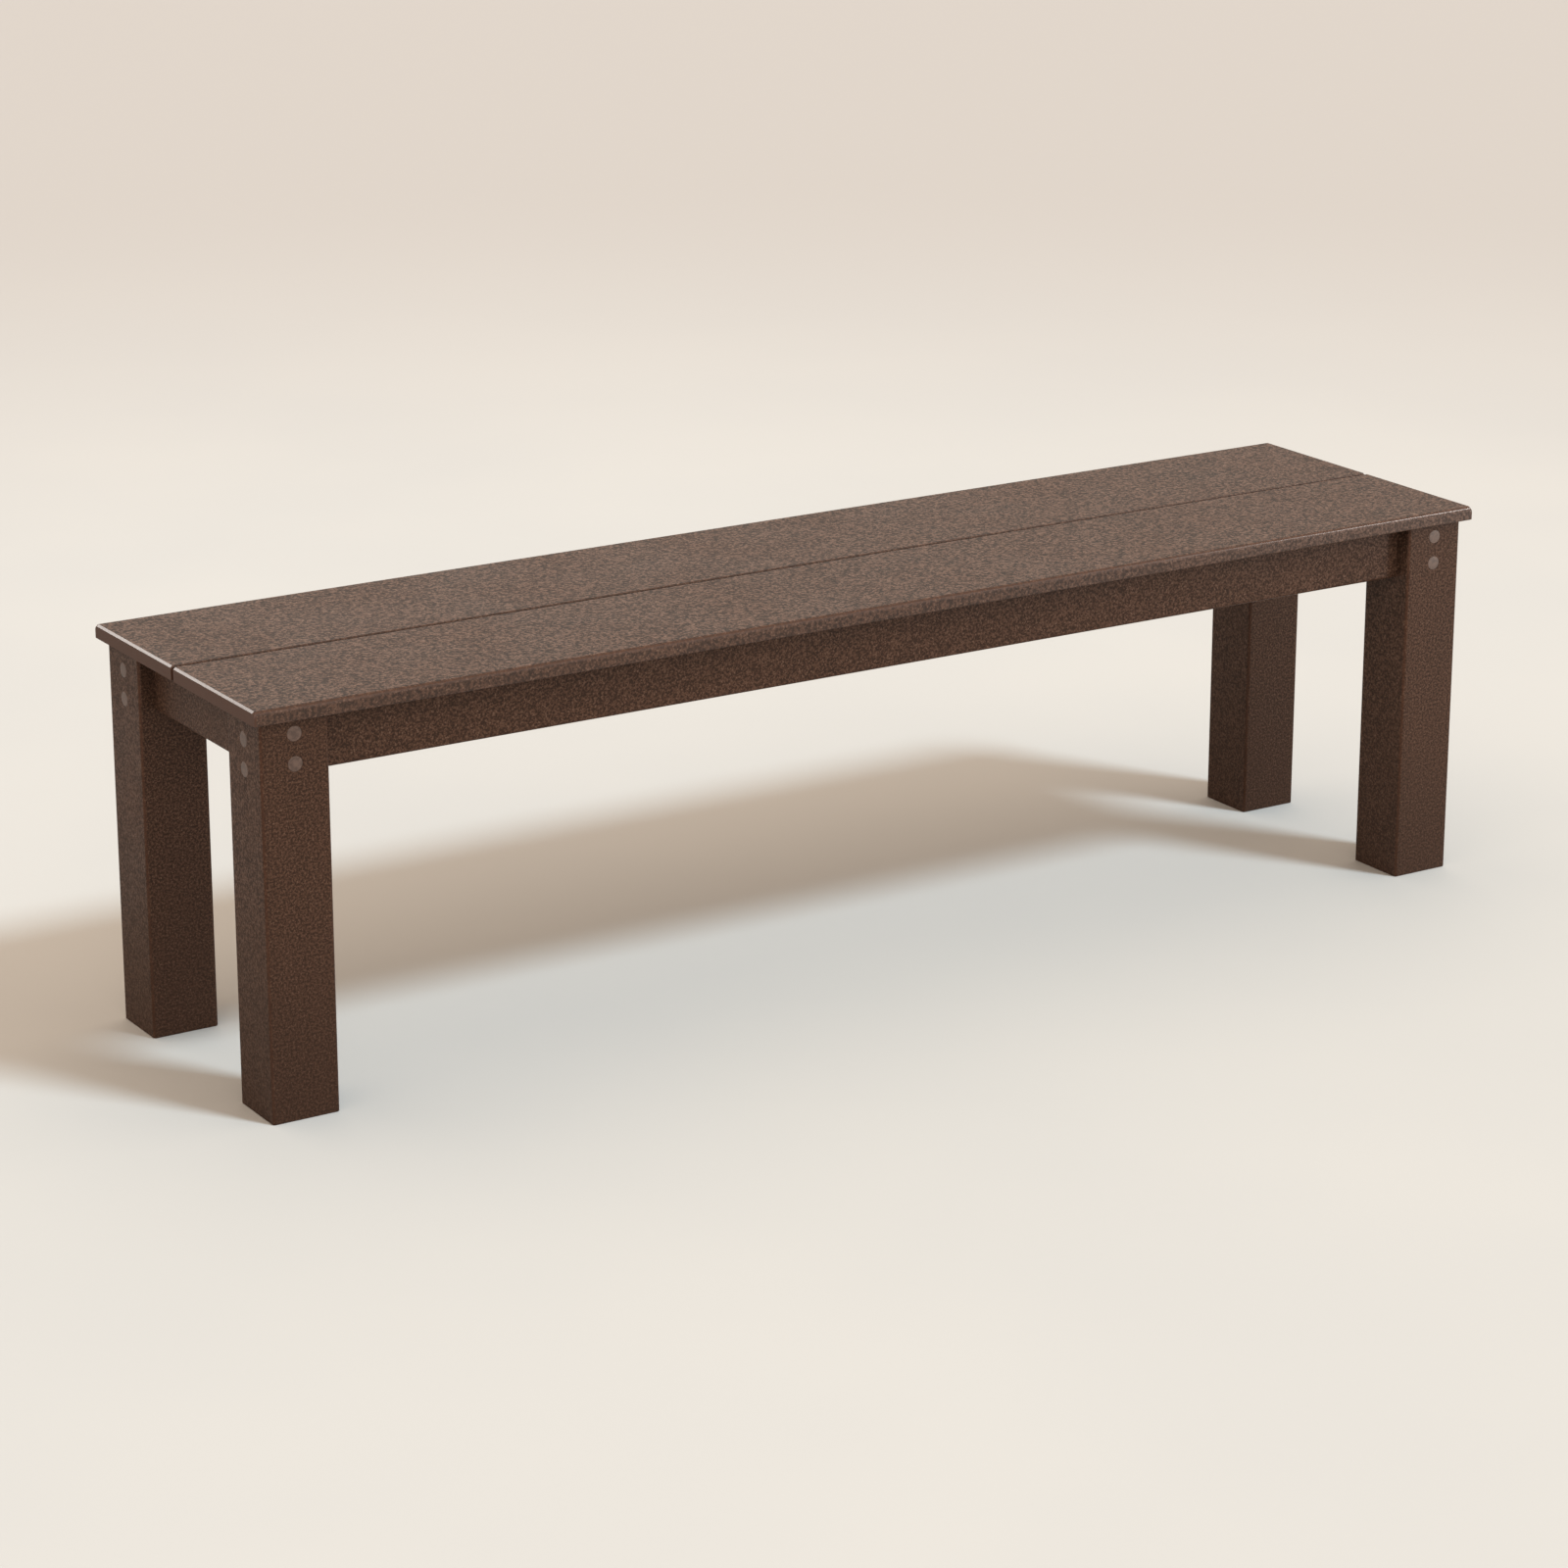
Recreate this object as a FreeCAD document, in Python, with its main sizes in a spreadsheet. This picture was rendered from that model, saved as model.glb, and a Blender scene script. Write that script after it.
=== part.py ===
"""Backless garden bench of solid plastic lumber: two seat slats on a frame of four square legs.

Frame of reference: millimetres, +Z up, origin on the floor under the middle of the seat,
X along the bench and -Y towards its front. The aprons butt against the legs, and two
stainless lag screws through each leg hold each apron end, under press-in plug caps.
"""
import FreeCAD, Part
import os

import Sketcher
from FreeCAD import Placement, Rotation, Vector

doc = FreeCAD.newDocument("garden_bench")

# ------------------------------------------------------------------ driving sizes
DRIVING_SIZES = {
    # seat
    "seat_length": 1568.45,
    "seat_depth": 387.35,
    "seat_height": 444.5,
    "slat_thickness": 15.875,
    "slat_gap": 4.7625,
    "slat_top_round": 4.0,
    "slat_bottom_round": 2.5,
    "slat_end_bevel": 2.0,
    # legs
    "leg_side": 76.2,
    "leg_inset": 9.525,
    "leg_corner_round": 3.5,
    "leg_end_bevel": 0.8,
    # aprons between the legs
    "apron_height": 63.5,
    "apron_thickness": 38.1,
    "apron_recess": 19.05,
    "apron_edge_round": 3.0,
    # cross supports under the slats
    "support_width": 63.5,
    "support_height": 38.1,
    "support_edge_round": 3.0,
    # lag screws, washers and plug caps in the legs
    "lag_diameter": 6.3,
    "lag_length": 112.0,
    "lag_tip_length": 7.0,
    "lag_head_diameter": 12.5,
    "lag_head_height": 5.0,
    "lag_head_round": 1.2,
    "lag_socket_across": 5.6,
    "lag_socket_depth": 3.0,
    "lag_edge": 15.875,
    "lag_crossing_web": 2.625,
    "washer_diameter": 16.0,
    "washer_thickness": 1.6,
    "cap_diameter": 16.5,
    "cap_thickness": 5.0,
    "cap_stand_out": 0.4,
    "cap_rim_round": 0.9,
    "cap_to_head_gap": 3.8,
    # screws that hold the slats down from below
    "slat_screw_diameter": 4.8,
    "slat_screw_length": 45.0,
    "slat_screw_bite": 11.0,
    "slat_screw_tip_length": 5.0,
    "slat_screw_head_diameter": 9.6,
    "slat_screw_head_height": 3.2,
    "slat_screw_gap_edge": 28.0,
    "slat_screw_end_edge": 20.0,
    "slat_screw_web": 1.85,
    "slat_screw_bracket_gap": 8.0,
    # angle brackets between cross supports and long aprons
    "bracket_width": 44.0,
    "bracket_leg": 22.0,
    "bracket_thickness": 2.5,
    "bracket_bend_round": 3.5,
    "bracket_hole_spacing": 24.0,
    "bracket_screw_diameter": 4.0,
    "bracket_screw_length": 22.0,
    "bracket_screw_tip_length": 4.0,
    "bracket_screw_head_diameter": 8.0,
    "bracket_screw_head_height": 2.6,
    "bracket_corner_round": 3.0,
    # clearances
    "shank_clearance": 0.3,
    "pilot_clearance": 0.05,
    "cap_clearance": 0.1,
    "head_clearance": 0.4,
    "blind_hole_spare": 1.5,
}

sheet = doc.addObject("Spreadsheet::Sheet", "Sizes")
for row, (alias, size) in enumerate(DRIVING_SIZES.items(), start=1):
    sheet.set(f"A{row}", alias)
    sheet.set(f"B{row}", str(size))
    sheet.setAlias(f"B{row}", alias)
doc.recompute()

# each driving size as text for use inside an expression
S = {alias: f"Sizes.{alias}" for alias in DRIVING_SIZES}

# ------------------------------------------------------------------ sizes that follow from them
SLAT_WIDTH = f"(({S['seat_depth']} - {S['slat_gap']}) / 2)"
SLAT_CENTRE_Y = f"({S['slat_gap']} / 2 + {SLAT_WIDTH} / 2)"
SEAT_UNDERSIDE = f"({S['seat_height']} - {S['slat_thickness']})"
APRON_BOTTOM = f"({SEAT_UNDERSIDE} - {S['apron_height']})"
SUPPORT_BOTTOM = f"({SEAT_UNDERSIDE} - {S['support_height']})"

LEG_CENTRE_X = f"({S['seat_length']} / 2 - {S['leg_inset']} - {S['leg_side']} / 2)"
LEG_CENTRE_Y = f"({S['seat_depth']} / 2 - {S['leg_inset']} - {S['leg_side']} / 2)"
APRON_MIDDLE_FROM_LEG_FACE = f"({S['apron_recess']} + {S['apron_thickness']} / 2)"
APRON_OFF_LEG_CENTRE = f"({S['leg_side']} / 2 - {APRON_MIDDLE_FROM_LEG_FACE})"
LONG_APRON_Y = f"({LEG_CENTRE_Y} + {APRON_OFF_LEG_CENTRE})"
END_APRON_X = f"({LEG_CENTRE_X} + {APRON_OFF_LEG_CENTRE})"
LONG_APRON_LENGTH = f"(2 * {LEG_CENTRE_X} - {S['leg_side']})"
END_APRON_LENGTH = f"(2 * {LEG_CENTRE_Y} - {S['leg_side']})"

SUPPORT_LENGTH = f"(2 * {LONG_APRON_Y} - {S['apron_thickness']})"
SUPPORT_SPACING = f"({END_APRON_X} / 2)"

# lag screws: the pair in a long apron is set lower, to pass under the pair in an end apron
LAG_STAGGER = f"({S['lag_diameter']} + 2 * {S['shank_clearance']} + {S['lag_crossing_web']})"
END_LAG_HEIGHTS = [
    f"({SEAT_UNDERSIDE} - {S['lag_edge']})",
    f"({APRON_BOTTOM} + {S['lag_edge']})",
]
LONG_LAG_HEIGHTS = [f"({height} - {LAG_STAGGER})" for height in END_LAG_HEIGHTS]
COUNTERBORE_DIAMETER = f"({S['cap_diameter']} + 2 * {S['cap_clearance']})"
CAP_BOTTOM = f"({S['cap_thickness']} - {S['cap_stand_out']})"
LAG_SEAT = f"({CAP_BOTTOM} + {S['cap_to_head_gap']} + {S['lag_head_height']})"
COUNTERBORE_DEPTH = f"({LAG_SEAT} + {S['washer_thickness']})"
LAG_BITE = f"({LAG_SEAT} + {S['lag_length']} - {S['leg_side']})"
LAG_SHANK_HOLE = f"({S['lag_diameter']} + 2 * {S['shank_clearance']})"
LAG_PILOT = f"({S['lag_diameter']} + 2 * {S['pilot_clearance']})"
LAG_PILOT_DEPTH = f"({LAG_BITE} + {S['blind_hole_spare']})"

# slat screws: clear of the lag screws, of the apron ends and of the brackets
SLAT_SCREW_IN_SUPPORT = f"({S['slat_screw_length']} - {S['slat_screw_bite']})"
SLAT_SCREW_POCKET = f"({S['slat_screw_head_diameter']} + 2 * {S['head_clearance']})"
SLAT_SCREW_HOLE = f"({S['slat_screw_diameter']} + 2 * {S['shank_clearance']})"
SLAT_SCREW_PILOT = f"({S['slat_screw_diameter']} + 2 * {S['pilot_clearance']})"
SLAT_SCREW_PILOT_DEPTH = f"({S['slat_screw_bite']} + {S['blind_hole_spare']})"
SLAT_SCREW_INNER_Y = f"({S['slat_gap']} / 2 + {S['slat_screw_gap_edge']})"
INSIDE_APRON_END = f"({END_APRON_LENGTH} / 2 - {S['slat_screw_end_edge']})"
INSIDE_BRACKET = (
    f"({SUPPORT_LENGTH} / 2 - {S['bracket_leg']} - {S['slat_screw_bracket_gap']}"
    f" - {SLAT_SCREW_POCKET} / 2)"
)
SLAT_SCREW_OUTER_Y = f"min({INSIDE_APRON_END}; {INSIDE_BRACKET})"
SLAT_SCREW_OFF_LAG = f"({LAG_PILOT} / 2 + {SLAT_SCREW_POCKET} / 2 + {S['slat_screw_web']})"

# brackets: one leg under the cross support, the other down the apron's inner face
BRACKET_HOLE = f"({S['bracket_screw_diameter']} + 2 * {S['shank_clearance']})"
BRACKET_PILOT = f"({S['bracket_screw_diameter']} + 2 * {S['pilot_clearance']})"
BRACKET_PILOT_DEPTH = (
    f"({S['bracket_screw_length']} - {S['bracket_thickness']} + {S['blind_hole_spare']})"
)
BRACKET_HOLE_FROM_HEEL = f"(({S['bracket_leg']} + {S['bracket_thickness']}) / 2)"


# ------------------------------------------------------------------ modelling helpers
NEAR = 0.01  # how close an edge must lie to a face to count as on it
LONG = 50.0  # an edge longer than this runs along a plank or post


def negative(expression):
    """The expression with its sign turned."""
    return f"(-1 * {expression})"


def signed(sign, expression):
    """The expression, or its negative where sign is -1."""
    return expression if sign > 0 else negative(expression)


def new_body(name):
    """An empty PartDesign body whose label names its file."""
    body = doc.addObject("PartDesign::Body", name)
    body.Label = name
    return body


def place(item, x="0", y="0", z="0", rotation=None):
    """Bind an object's place to the sheet; its rotation is a plain turn."""
    item.Placement = Placement(Vector(0, 0, 0), rotation or Rotation())
    for axis, expression in zip("xyz", (x, y, z)):
        item.setExpression(f"Placement.Base.{axis}", expression)


def plane_of(body, role):
    """One of the body's own origin planes, such as XY_Plane."""
    return next(item for item in body.Origin.OriginFeatures if item.Role == role)


def new_sketch(body, role, name, offset="0"):
    """A sketch on one of the body's own planes, moved along that plane's normal."""
    sketch = body.newObject("Sketcher::SketchObject", name)
    sketch.AttachmentSupport = [(plane_of(body, role), "")]
    sketch.MapMode = "FlatFace"
    sketch.setExpression("AttachmentOffset.Base.z", offset)
    return sketch


def bind_distance(sketch, kind, geometry, point, expression, label):
    """Hold one point at a signed distance from the sketch's origin."""
    index = sketch.addConstraint(Sketcher.Constraint(kind, -1, 1, geometry, point, 1.0))
    sketch.renameConstraint(index, label)
    sketch.setExpression(f"Constraints.{label}", expression)


def add_outline(sketch, corners):
    """A closed outline of straight lines through corners given as expressions."""
    values = [tuple(worked_out(sketch, text) for text in corner) for corner in corners]
    count = len(corners)
    for index in range(count):
        start = Vector(*values[index], 0)
        end = Vector(*values[(index + 1) % count], 0)
        sketch.addGeometry(Part.LineSegment(start, end), False)
    for index in range(count):
        sketch.addConstraint(Sketcher.Constraint("Coincident", index, 2, (index + 1) % count, 1))
    for index, (x, y) in enumerate(corners):
        bind_distance(sketch, "DistanceX", index, 1, x, f"corner_x{index}")
        bind_distance(sketch, "DistanceY", index, 1, y, f"corner_y{index}")


def worked_out(item, expression):
    """The expression's value in millimetres."""
    return float(item.evalExpression(expression))


def add_circles(sketch, centres, diameter):
    """One circle per centre, all of one diameter."""
    radius = worked_out(sketch, f"{diameter} / 2")
    for index, (x, y) in enumerate(centres):
        centre = Vector(worked_out(sketch, x), worked_out(sketch, y), 0)
        sketch.addGeometry(Part.Circle(centre, Vector(0, 0, 1), radius), False)
        bind_distance(sketch, "DistanceX", index, 3, x, f"centre_x{index}")
        bind_distance(sketch, "DistanceY", index, 3, y, f"centre_y{index}")
        size = sketch.addConstraint(Sketcher.Constraint("Diameter", index, 2 * radius))
        sketch.renameConstraint(size, f"width{index}")
        sketch.setExpression(f"Constraints.width{index}", diameter)


def pad(body, sketch, length, midplane=False):
    """Extrude the sketch, to one side or evenly to both."""
    feature = body.newObject("PartDesign::Pad", f"{sketch.Name}_pad")
    feature.Profile = sketch
    feature.Midplane = midplane
    feature.setExpression("Length", length)
    doc.recompute()


def drill(body, name, role, face, inwards, centres, diameter, depth):
    """Round holes into the body from one face, and a check that they did cut.

    face is the face's distance along the plane's normal; inwards is -1 where the
    holes run against that normal and 1 where they run along it.
    """
    volume = body.Shape.Volume
    sketch = new_sketch(body, role, name, face)
    add_circles(sketch, centres, diameter)
    pocket = body.newObject("PartDesign::Pocket", f"{name}_pocket")
    pocket.Profile = sketch
    pocket.Reversed = inwards > 0
    pocket.setExpression("Length", depth)
    doc.recompute()
    if not body.Shape.Volume < volume:
        raise RuntimeError(f"{body.Label}: {name} cuts nothing")


def edges_of(shape, wanted):
    """Names of the edges whose box passes the test wanted(box)."""
    return [f"Edge{i}" for i, edge in enumerate(shape.Edges, 1) if wanted(edge.BoundBox)]


def dress(body, kind, name, edges, size):
    """A PartDesign Fillet or Chamfer of the named edges of the body so far."""
    before = body.Tip
    feature = body.newObject(f"PartDesign::{kind}", name)
    feature.Base = (before, edges)
    feature.setExpression("Radius" if kind == "Fillet" else "Size", size)
    doc.recompute()


# ------------------------------------------------------------------ seat slats
# X of each row of slat screws; in the end aprons they stand aside of the lag screws
END_ROW_X = f"({END_APRON_X} - {SLAT_SCREW_OFF_LAG})"
SCREW_ROWS = {
    "end_left": negative(END_ROW_X),
    "left": negative(SUPPORT_SPACING),
    "middle": "0",
    "right": SUPPORT_SPACING,
    "end_right": END_ROW_X,
}


def slat_screw_sides(side):
    """Y of the two screws of one row in one slat, on the bench's front (-1) or rear (1) side."""
    return [signed(side, y) for y in (SLAT_SCREW_INNER_Y, SLAT_SCREW_OUTER_Y)]


def seat_slat(name, side):
    """One seat slat: an extruded plank, its long edges rounded and its sawn ends eased."""
    body = new_body(name)
    section = new_sketch(body, "YZ_Plane", f"{name}_section")
    half_width = f"{SLAT_WIDTH} / 2"
    add_outline(section, [
        (negative(half_width), "0"),
        (half_width, "0"),
        (half_width, S["slat_thickness"]),
        (negative(half_width), S["slat_thickness"]),
    ])
    pad(body, section, S["seat_length"], midplane=True)

    top = worked_out(body, S["slat_thickness"])
    top_edges = edges_of(body.Shape, lambda box: box.XLength > LONG and box.ZMin > top - NEAR)
    dress(body, "Fillet", f"{name}_top_round", top_edges, S["slat_top_round"])
    bottom_edges = edges_of(body.Shape, lambda box: box.XLength > LONG and box.ZMax < NEAR)
    dress(body, "Fillet", f"{name}_bottom_round", bottom_edges, S["slat_bottom_round"])
    end = worked_out(body, f"{S['seat_length']} / 2")
    end_edges = edges_of(body.Shape, lambda box: abs(box.XMin + box.XMax) > 2 * (end - NEAR))
    dress(body, "Chamfer", f"{name}_end_bevel", end_edges, S["slat_end_bevel"])

    holes = [
        (x, f"({y} - {signed(side, SLAT_CENTRE_Y)})")
        for x in SCREW_ROWS.values()
        for y in slat_screw_sides(side)
    ]
    drill(body, f"{name}_pilots", "XY_Plane", "0", 1, holes, SLAT_SCREW_PILOT, SLAT_SCREW_PILOT_DEPTH)
    place(body, y=signed(side, SLAT_CENTRE_Y), z=SEAT_UNDERSIDE)
    return body


# ------------------------------------------------------------------ legs
def leg(name, x_side, y_side):
    """A square post, bored from its two outer faces for the lag screws and their caps."""
    body = new_body(name)
    half = f"{S['leg_side']} / 2"
    section = new_sketch(body, "XY_Plane", f"{name}_section")
    add_outline(section, [
        (negative(half), negative(half)),
        (half, negative(half)),
        (half, half),
        (negative(half), half),
    ])
    pad(body, section, SEAT_UNDERSIDE)
    corners = edges_of(body.Shape, lambda box: box.ZLength > LONG)
    dress(body, "Fillet", f"{name}_corners", corners, S["leg_corner_round"])
    top = worked_out(body, SEAT_UNDERSIDE)
    ends = edges_of(body.Shape, lambda box: box.ZMax < NEAR or box.ZMin > top - NEAR)
    dress(body, "Chamfer", f"{name}_end_bevel", ends, S["leg_end_bevel"])

    # a plane's normal is +X on YZ_Plane and -Y on XZ_Plane
    bores = [
        ("end_face", "YZ_Plane", x_side, signed(y_side, APRON_OFF_LEG_CENTRE), LONG_LAG_HEIGHTS),
        ("long_face", "XZ_Plane", -y_side, signed(x_side, APRON_OFF_LEG_CENTRE), END_LAG_HEIGHTS),
    ]
    for face_name, role, normal_side, across, heights in bores:
        face = signed(normal_side, half)
        centres = [(across, height) for height in heights]
        for step, diameter, depth in (
            ("counterbore", COUNTERBORE_DIAMETER, COUNTERBORE_DEPTH),
            ("shank_hole", LAG_SHANK_HOLE, S["leg_side"]),
        ):
            drill(body, f"{name}_{face_name}_{step}", role, face, -normal_side, centres, diameter, depth)
    place(body, signed(x_side, LEG_CENTRE_X), signed(y_side, LEG_CENTRE_Y))
    return body


# ------------------------------------------------------------------ aprons and cross supports
def bar(name, length, thickness, height, edge_round, along_x):
    """A straight bar between two pieces, its long edges rounded and its ends sawn square."""
    body = new_body(name)
    section = new_sketch(body, "YZ_Plane" if along_x else "XZ_Plane", f"{name}_section")
    half = f"{thickness} / 2"
    add_outline(section, [
        (negative(half), "0"),
        (half, "0"),
        (half, height),
        (negative(half), height),
    ])
    pad(body, section, length, midplane=True)
    run = worked_out(body, length) - NEAR
    edges = edges_of(body.Shape, lambda box: (box.XLength if along_x else box.YLength) > run)
    dress(body, "Fillet", f"{name}_edges", edges, edge_round)
    return body


def long_apron(name, side):
    """Runs between two legs; drilled at its ends for lag screws, inside for the brackets."""
    body = bar(name, LONG_APRON_LENGTH, S["apron_thickness"], S["apron_height"],
               S["apron_edge_round"], along_x=True)
    centres = [("0", f"({height} - {APRON_BOTTOM})") for height in LONG_LAG_HEIGHTS]
    for end in (1, -1):
        drill(body, f"{name}_lag_pilots_{'right' if end > 0 else 'left'}", "YZ_Plane",
              signed(end, f"{LONG_APRON_LENGTH} / 2"), -end, centres, LAG_PILOT, LAG_PILOT_DEPTH)
    inner_face = signed(side, f"{S['apron_thickness']} / 2")
    height = f"({SUPPORT_BOTTOM} - {BRACKET_HOLE_FROM_HEEL} - {APRON_BOTTOM})"
    centres = [
        (f"({x} + {signed(way, S['bracket_hole_spacing'])} / 2)", height)
        for x in (negative(SUPPORT_SPACING), "0", SUPPORT_SPACING)
        for way in (-1, 1)
    ]
    drill(body, f"{name}_bracket_pilots", "XZ_Plane", inner_face, -side, centres,
          BRACKET_PILOT, BRACKET_PILOT_DEPTH)
    place(body, y=signed(side, LONG_APRON_Y), z=APRON_BOTTOM)
    return body


def stepped_slat_screw_holes(body, name, centres, height):
    """Wide pockets from below that sink the screw heads, and the shank holes above them."""
    pocket_depth = f"({height} - {SLAT_SCREW_IN_SUPPORT})"
    drill(body, f"{name}_screw_pockets", "XY_Plane", "0", 1, centres, SLAT_SCREW_POCKET, pocket_depth)
    drill(body, f"{name}_screw_holes", "XY_Plane", "0", 1, centres, SLAT_SCREW_HOLE, height)


def end_apron(name, side):
    """Closes one end of the frame; the slats are screwed down through it from below."""
    body = bar(name, END_APRON_LENGTH, S["apron_thickness"], S["apron_height"],
               S["apron_edge_round"], along_x=False)
    centres = [("0", f"({height} - {APRON_BOTTOM})") for height in END_LAG_HEIGHTS]
    for end in (1, -1):
        drill(body, f"{name}_lag_pilots_{'front' if end > 0 else 'rear'}", "XZ_Plane",
              signed(end, f"{END_APRON_LENGTH} / 2"), -end, centres, LAG_PILOT, LAG_PILOT_DEPTH)
    rows = [
        (signed(-side, SLAT_SCREW_OFF_LAG), y)
        for slat_side in (-1, 1)
        for y in slat_screw_sides(slat_side)
    ]
    stepped_slat_screw_holes(body, name, rows, S["apron_height"])
    place(body, x=signed(side, END_APRON_X), z=APRON_BOTTOM)
    return body


def cross_support(name, x):
    """A flat bar from apron to apron that carries the slats' inner edges."""
    body = bar(name, SUPPORT_LENGTH, S["support_width"], S["support_height"],
               S["support_edge_round"], along_x=False)
    rows = [("0", y) for slat_side in (-1, 1) for y in slat_screw_sides(slat_side)]
    stepped_slat_screw_holes(body, name, rows, S["support_height"])
    from_end = f"({SUPPORT_LENGTH} / 2 - {BRACKET_HOLE_FROM_HEEL})"
    centres = [
        (f"{signed(way, S['bracket_hole_spacing'])} / 2", signed(side, from_end))
        for way in (-1, 1)
        for side in (-1, 1)
    ]
    drill(body, f"{name}_bracket_pilots", "XY_Plane", "0", 1, centres, BRACKET_PILOT, BRACKET_PILOT_DEPTH)
    place(body, x=x, z=SUPPORT_BOTTOM)
    return body


def angle_bracket(name, x, side):
    """A bent steel strip in the corner below a cross support, against a long apron."""
    body = new_body(name)
    section = new_sketch(body, "YZ_Plane", f"{name}_section")
    inwards = -side
    add_outline(section, [
        ("0", "0"),
        (signed(inwards, S["bracket_leg"]), "0"),
        (signed(inwards, S["bracket_leg"]), negative(S["bracket_thickness"])),
        (signed(inwards, S["bracket_thickness"]), negative(S["bracket_thickness"])),
        (signed(inwards, S["bracket_thickness"]), negative(S["bracket_leg"])),
        ("0", negative(S["bracket_leg"])),
    ])
    pad(body, section, S["bracket_width"], midplane=True)
    strip_width = worked_out(body, S["bracket_width"])
    leg_length = worked_out(body, S["bracket_leg"])
    heel = edges_of(body.Shape, lambda box: box.XLength > strip_width - NEAR
                    and abs(box.YMin + box.YMax) < NEAR and box.ZMin > -NEAR)
    dress(body, "Fillet", f"{name}_heel", heel, S["bracket_bend_round"])
    corners = edges_of(body.Shape, lambda box: box.XLength < NEAR
                       and (abs(box.YMin + box.YMax) > 2 * (leg_length - NEAR)
                            or box.ZMax < NEAR - leg_length))
    dress(body, "Fillet", f"{name}_corners", corners, S["bracket_corner_round"])
    from_middle = [f"{signed(way, S['bracket_hole_spacing'])} / 2" for way in (-1, 1)]
    drill(body, f"{name}_upper_holes", "XY_Plane", "0", -1,
          [(across, signed(inwards, BRACKET_HOLE_FROM_HEEL)) for across in from_middle],
          BRACKET_HOLE, f"2 * {S['bracket_thickness']}")
    drill(body, f"{name}_lower_holes", "XZ_Plane", "0", -inwards,
          [(across, negative(BRACKET_HOLE_FROM_HEEL)) for across in from_middle],
          BRACKET_HOLE, f"2 * {S['bracket_thickness']}")
    place(body, x, signed(side, f"{SUPPORT_LENGTH} / 2"), SUPPORT_BOTTOM)
    return body


# ------------------------------------------------------------------ fasteners
def turned(name, corners):
    """A turned piece about its own Z axis from a half outline given as (radius, height)."""
    body = new_body(name)
    outline = new_sketch(body, "XZ_Plane", f"{name}_outline")
    add_outline(outline, corners)
    revolution = body.newObject("PartDesign::Revolution", f"{name}_turning")
    revolution.Profile = outline
    revolution.ReferenceAxis = (outline, ["V_Axis"])
    revolution.Angle = 360
    doc.recompute()
    return body


def screw_master(name, seat, diameter, length, tip, head_diameter, head_height):
    """A screw along Z, its head's underside at height `seat`, its point downwards."""
    point = f"({seat} - {length})"
    return turned(name, [
        ("0", point),
        (f"{diameter} / 2", f"({point} + {tip})"),
        (f"{diameter} / 2", seat),
        (f"{head_diameter} / 2", seat),
        (f"{head_diameter} / 2", f"({seat} + {head_height})"),
        ("0", f"({seat} + {head_height})"),
    ])


def finish_head(body, top, head_round, socket_across, socket_depth):
    """Round a screw head's rim and sink a hexagon socket in it."""
    height = worked_out(body, top)
    rim = edges_of(body.Shape, lambda box: box.ZMin > height - NEAR and box.XLength > NEAR)
    dress(body, "Fillet", f"{body.Label}_rim", rim, head_round)
    volume = body.Shape.Volume
    socket = body.newObject("PartDesign::SubtractivePrism", f"{body.Label}_socket")
    socket.AttachmentSupport = [(plane_of(body, "XY_Plane"), "")]
    socket.MapMode = "FlatFace"
    socket.Polygon = 6
    socket.setExpression("Circumradius", f"{socket_across} / sqrt(3)")
    socket.setExpression("Height", socket_depth)
    socket.setExpression("AttachmentOffset.Base.z", f"{top} - {socket_depth}")
    doc.recompute()
    if not body.Shape.Volume < volume:
        raise RuntimeError(f"{body.Label}: the socket cuts nothing")


def fastener_masters():
    """One of each fastener. In a leg, height 0 is the leg's outer face."""
    lag = screw_master("lag_screw_master", negative(LAG_SEAT), S["lag_diameter"], S["lag_length"],
                       S["lag_tip_length"], S["lag_head_diameter"], S["lag_head_height"])
    finish_head(lag, f"({negative(LAG_SEAT)} + {S['lag_head_height']})", S["lag_head_round"],
                S["lag_socket_across"], S["lag_socket_depth"])
    washer_top = negative(LAG_SEAT)
    washer_bottom = negative(COUNTERBORE_DEPTH)
    bore = f"{LAG_SHANK_HOLE} / 2"
    washer = turned("washer_master", [
        (bore, washer_bottom),
        (f"{S['washer_diameter']} / 2", washer_bottom),
        (f"{S['washer_diameter']} / 2", washer_top),
        (bore, washer_top),
    ])
    cap = turned("plug_cap_master", [
        ("0", negative(CAP_BOTTOM)),
        (f"{S['cap_diameter']} / 2", negative(CAP_BOTTOM)),
        (f"{S['cap_diameter']} / 2", S["cap_stand_out"]),
        ("0", S["cap_stand_out"]),
    ])
    face = worked_out(cap, S["cap_stand_out"])
    rim = edges_of(cap.Shape, lambda box: box.ZMin > face - NEAR and box.XLength > NEAR)
    dress(cap, "Fillet", "plug_cap_rim", rim, S["cap_rim_round"])
    slat_screw = screw_master("slat_screw_master", "0", S["slat_screw_diameter"],
                              S["slat_screw_length"], S["slat_screw_tip_length"],
                              S["slat_screw_head_diameter"], S["slat_screw_head_height"])
    bracket_screw = screw_master("bracket_screw_master", "0", S["bracket_screw_diameter"],
                                 S["bracket_screw_length"], S["bracket_screw_tip_length"],
                                 S["bracket_screw_head_diameter"], S["bracket_screw_head_height"])
    return lag, washer, cap, slat_screw, bracket_screw


TURN_TO = {
    "+x": Rotation(Vector(0, 1, 0), 90),
    "-x": Rotation(Vector(0, 1, 0), -90),
    "+y": Rotation(Vector(1, 0, 0), -90),
    "-y": Rotation(Vector(1, 0, 0), 90),
    "-z": Rotation(Vector(1, 0, 0), 180),
}


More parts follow.
